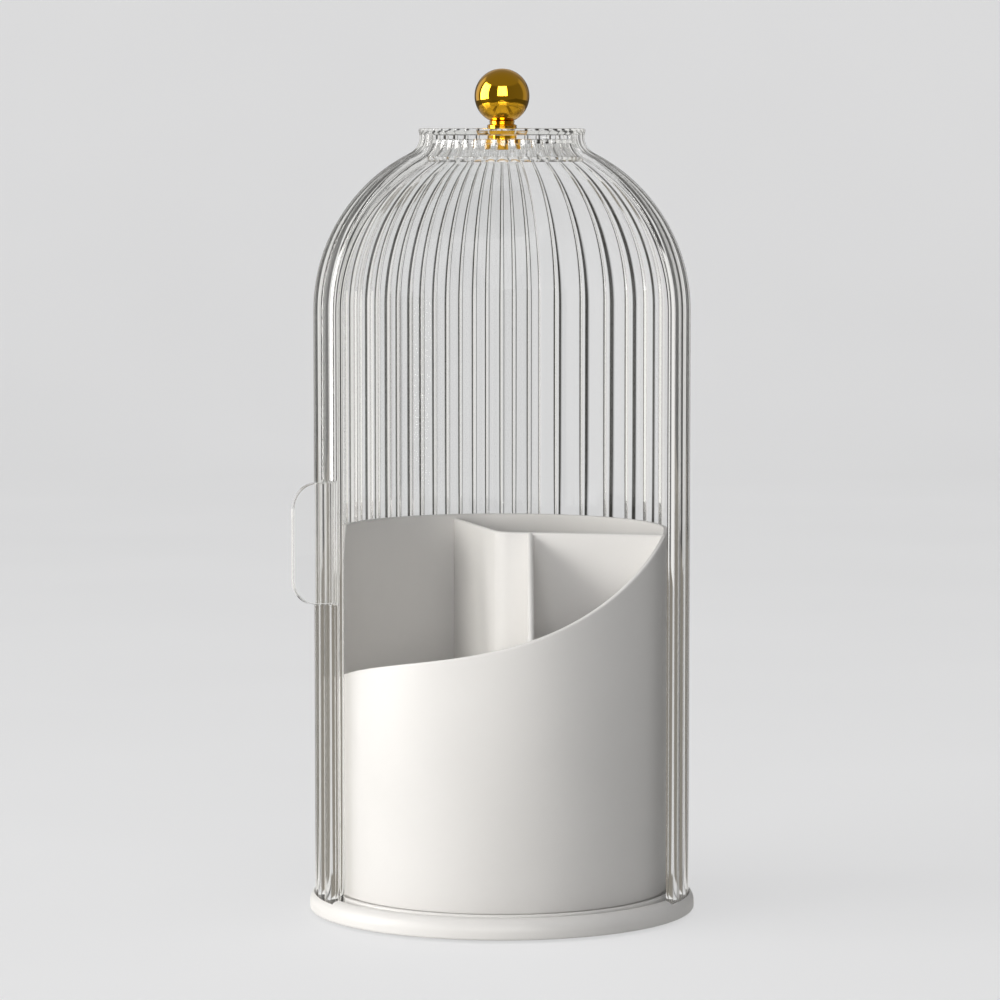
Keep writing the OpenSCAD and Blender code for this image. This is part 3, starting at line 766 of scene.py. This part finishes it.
def stage_paint():
    """Pale paint. The camera, and rays that the clear shells hardly bend, see it evenly lit. For rays bent
    more it has painted bands: a dark band on each side, which paints the dark lines in the ribs, and then
    white and taupe. Metal mirrors it darker, with a bright strip: painted reflections for the gold."""
    made, tree, shader, node = material("stage_paint")
    tones = [(0.3, (0.87, 0.87, 0.875, 1.0)), (0.7, (0.89, 0.89, 0.895, 1.0))]
    seen = ramp(tree, object_noise(tree, node, scale=3.0, detail=2.0), tones)
    where = node("ShaderNodeTexCoord")
    axes = node("ShaderNodeSeparateXYZ")
    tree.links.new(where.outputs["Object"], axes.inputs["Vector"])
    side = math_step(tree, "ABSOLUTE", axes.outputs["X"])

    # How far a ray was bent sideways: where it lands beside the view, by how far it lands behind the object
    behind = math_step(tree, "MAXIMUM", axes.outputs["Y"], LEAST_BEHIND)
    beside = math_step(tree, "SUBTRACT", side, VIEW_HALF)
    spread = math_step(tree, "DIVIDE", beside, math_step(tree, "MULTIPLY", behind, WIDEST_SPREAD))
    # Painted refraction: these bands draw the dark lines and light streaks in the shells' ribs
    far_out = [(0.15, PAINTED_LIGHT_STREAKS), (0.165, TAUPE), (0.5, TAUPE), (0.56, PALE), (1.0, PALE)]
    left = ramp(tree, spread, [(0.0, PALE), (0.0225, PALE), (0.026, PAINTED_DARK_LINES), (0.0535, PAINTED_DARK_LINES),
                               (0.057, PAINTED_LIGHT_STREAKS)] + far_out)
    right = ramp(tree, spread, [(0.0, PALE), (0.0225, PALE), (0.026, PAINTED_DARK_LINES), (0.039, PAINTED_DARK_LINES),
                                (0.0425, PALE)] + far_out)
    bent = colour_mix(tree, math_step(tree, "GREATER_THAN", axes.outputs["X"], 0.0), left, right)
    # Painted reflections for mirrored rays: a bright strip down the middle, dim ground round it
    strip = ramp(tree, side, [(0.0, PAINTED_HIGHLIGHT_STRIP), (0.11, PAINTED_HIGHLIGHT_STRIP),
                              (0.14, PAINTED_DIM_REFLECTION), (1.0, PAINTED_DIM_REFLECTION)])

    camera, through, mirrored = ray_kinds(tree)
    colour = colour_mix(tree, mirrored, PLAIN_STAGE, strip)
    colour = colour_mix(tree, through, colour, bent)
    colour = colour_mix(tree, camera, colour, seen)
    tree.links.new(colour, shader.inputs["Base Color"])
    shader.inputs["Roughness"].default_value = 0.6
    shader.inputs["Specular IOR Level"].default_value = 0.1
    glow = node("ShaderNodeEmission", Strength=0.95)
    tree.links.new(colour, glow.inputs["Color"])
    shown = math_step(tree, "MAXIMUM", camera, math_step(tree, "MAXIMUM", through, mirrored))
    painted = shader_mix(tree, math_step(tree, "MULTIPLY", shown, GLOW_SHARE), shader.outputs["BSDF"],
                         glow.outputs[0])

    # Only the camera sees the stage's outer parts
    beyond = math_step(tree, "MAXIMUM", math_step(tree, "GREATER_THAN", side, REACH_X),
                       math_step(tree, "LESS_THAN", axes.outputs["Y"], REACH_Y))
    beyond = math_step(tree, "MAXIMUM", beyond, math_step(tree, "GREATER_THAN", axes.outputs["Z"], REACH_Z))
    left_out = math_step(tree, "MULTIPLY", beyond, math_step(tree, "SUBTRACT", 1.0, camera))
    final = shader_mix(tree, left_out, painted, node("ShaderNodeBsdfTransparent").outputs[0])
    tree.links.new(final, tree.nodes["Material Output"].inputs["Surface"])
    return made


def make_stage():
    """A pale floor that sweeps up into a pale wall."""
    near, far, bend, high, wide = -5.0, 3.0, 0.9, 4.0, 6.0
    line = [(y, 0.0) for y in (near, -1.0, 0.3)]
    line += [(far - bend + bend * math.sin(math.radians(a)), bend - bend * math.cos(math.radians(a)))
             for a in range(0, 91, 5)]
    line += [(far, high)]
    b = bmesh.new()
    left = [b.verts.new((-wide, y, z)) for y, z in line]
    right = [b.verts.new((wide, y, z)) for y, z in line]
    for i in range(len(line) - 1):
        b.faces.new((left[i], right[i], right[i + 1], left[i + 1])).smooth = True
    mesh = bpy.data.meshes.new("stage")
    b.to_mesh(mesh)
    b.free()
    mesh.materials.append(stage_paint())
    stage = bpy.data.objects.new("stage", mesh)
    bpy.context.scene.collection.objects.link(stage)


# Brightness of the room round the object, as it lights dull surfaces, and of its painted bands and windows
# seen through the shells and mirrored, by share of a turn: 0 is left, 0.25 the camera's side, 0.5 right
ROOM_LIGHT = [(0.0, 0.36), (0.25, 0.32), (0.42, 0.20), (0.58, 0.19), (0.75, 0.28), (1.0, 0.36)]
# Painted refraction: bands seen only through the shells, the dark ones painting the shells' dark lines
PAINTED_THROUGH_BANDS = [(0.0, 0.98), (0.165, 0.98), (0.175, 0.06), (0.225, 0.06), (0.235, 0.98), (0.395, 0.95),
                (0.405, 0.06), (0.45, 0.08), (0.46, 0.98), (0.59, 0.90), (0.60, 0.07), (0.65, 0.07),
                (0.66, 0.90), (0.845, 0.90), (0.855, 0.07), (0.90, 0.07), (0.91, 0.95), (1.0, 0.98)]
# Painted reflections: bright panes of 13 seen only by mirrored rays paint highlights, on dimmer walls
PAINTED_MIRRORED_ROOM = [(0.0, 13.0), (0.078, 13.0), (0.088, 0.14), (0.44, 0.20), (0.52, 0.20), (0.54, 0.45),
                 (0.60, 0.45), (0.62, 0.20), (0.72, 0.45), (0.80, 0.45), (0.85, 0.25), (0.87, 0.8),
                 (0.93, 0.8), (0.94, 0.15), (0.964, 0.15), (0.974, 13.0), (1.0, 13.0)]
# The painted pane on the camera's side, seen only in reflections, and ceilings, by the rise of a ray
PAINTED_FRONT_WINDOW = [(0.0, 0.0), (0.195, 0.0), (0.205, 1.0), (0.305, 1.0), (0.315, 0.0), (1.0, 0.0)]
FRONT_RISE = [(0.0, 0.0), (0.002, 0.0), (0.01, 1.0), (0.62, 1.0), (0.66, 0.0), (1.0, 0.0)]
CEILING = [(0.0, 0.0), (0.60, 0.0), (0.68, 1.0), (1.0, 1.0)]
THROUGH_CEILING = [(0.0, 0.0), (0.29, 0.0), (0.32, 1.0), (0.78, 1.0), (0.84, 0.0), (1.0, 0.0)]


def tinted(stops, tint):
    """Stops of a ramp, from (position, brightness) and a tint."""
    return [(position, tuple(value * t for t in tint) + (1.0,)) for position, value in stops]


def share(stops):
    """Stops of a ramp in greys."""
    return tinted(stops, (1.0, 1.0, 1.0))


def make_world():
    """Soft even light. The clear shells and the gold show a painted room that lights nothing: bands seen
    through the shells, and bright windows on darker walls seen in reflections, which paint highlights.
    """
    world = bpy.data.worlds.new("room")
    bpy.context.scene.world = world
    world.use_nodes = True
    tree = world.node_tree
    where = tree.nodes.new("ShaderNodeTexCoord")
    turn = tree.nodes.new("ShaderNodeTexGradient")
    turn.gradient_type = "RADIAL"
    tree.links.new(where.outputs["Generated"], turn.inputs["Vector"])
    axes = tree.nodes.new("ShaderNodeSeparateXYZ")
    tree.links.new(where.outputs["Generated"], axes.inputs["Vector"])
    azimuth, rise = turn.outputs["Fac"], axes.outputs["Z"]

    def shown(colour):
        made = tree.nodes.new("ShaderNodeBackground")
        tree.links.new(colour, made.inputs["Color"])
        return made.outputs[0]

    # Painted reflections, which light nothing: a bright pane on the camera's side over darker walls and ceiling
    painted_window = math_step(tree, "MULTIPLY", ramp(tree, azimuth, share(PAINTED_FRONT_WINDOW)),
                       ramp(tree, rise, share(FRONT_RISE)))
    walls = ramp(tree, azimuth, tinted(PAINTED_MIRRORED_ROOM, (1.0, 0.985, 0.95)))
    walls = colour_mix(tree, ramp(tree, rise, share(CEILING)), walls, (0.28, 0.275, 0.265, 1.0))
    walls = colour_mix(tree, painted_window, walls, (13.0, 12.8, 12.4, 1.0))
    # Painted refraction: bands seen through the shells, under a dark ceiling
    bent = ramp(tree, azimuth, tinted(PAINTED_THROUGH_BANDS, (1.0, 0.99, 0.965)))
    bent = colour_mix(tree, ramp(tree, rise, share(THROUGH_CEILING)), bent, (0.06, 0.058, 0.055, 1.0))
    camera, through, mirrored = ray_kinds(tree)
    light = colour_mix(tree, camera, ramp(tree, azimuth, tinted(ROOM_LIGHT, (0.98, 0.985, 1.0))), HORIZON)
    seen = shader_mix(tree, through, shown(light), shown(bent))
    seen = shader_mix(tree, mirrored, seen, shown(walls))
    tree.links.new(seen, tree.nodes["World Output"].inputs["Surface"])


# Where the lamps point
MIDDLE = Vector((0.0, 0.0, 0.14))
WARM = (1.0, 0.985, 0.96)
NEUTRAL = (1.0, 1.0, 1.0)
# Name, place, size, power and colour of each lamp
LAMPS = [("key", (-1.55, -1.05, 0.42), (0.9, 0.8), 18.8, WARM),
         ("left_strip", (-1.8, -0.15, 0.45), (0.3, 0.9), 9.0, WARM),
         ("front", (-0.1, -2.6, 0.42), (0.9, 0.7), 6.6, NEUTRAL),
         ("right_strip", (1.3, -0.1, 0.5), (0.2, 0.9), 0.5, NEUTRAL),
         ("top", (0.0, -0.35, 1.7), (1.2, 1.2), 5.5, NEUTRAL)]


def make_lights():
    """Rectangular lamps. Rays that went through the clear shells or that metal mirrors don't meet them: those
    rays see the world's painted room in their place."""
    for name, place, size, power, colour in LAMPS:
        lamp = bpy.data.lights.new(name, "AREA")
        lamp.shape = "RECTANGLE"
        lamp.size, lamp.size_y = size
        lamp.energy = power
        lamp.color = colour
        made = bpy.data.objects.new(name, lamp)
        made.location = place
        made.rotation_euler = (MIDDLE - Vector(place)).to_track_quat("-Z", "Y").to_euler()
        made.visible_transmission = False
        made.visible_glossy = False
        bpy.context.scene.collection.objects.link(made)


# The camera's place, its tilt below the horizon in degrees, and its lens in millimetres
CAMERA_AT = (-0.00077, -1.686, 0.304)
CAMERA_TILT = 4.87
LENS = 156.8


def make_camera():
    camera = bpy.data.cameras.new("camera")
    camera.sensor_width = 36.0
    camera.lens = LENS
    camera.clip_end = 50.0
    made = bpy.data.objects.new("camera", camera)
    made.location = CAMERA_AT
    made.rotation_euler = (math.radians(90.0 - CAMERA_TILT), 0.0, 0.0)
    bpy.context.scene.collection.objects.link(made)
    bpy.context.scene.camera = made


make_stage()
make_world()
make_lights()
make_camera()
bpy.context.scene.view_settings.view_transform = "Standard"
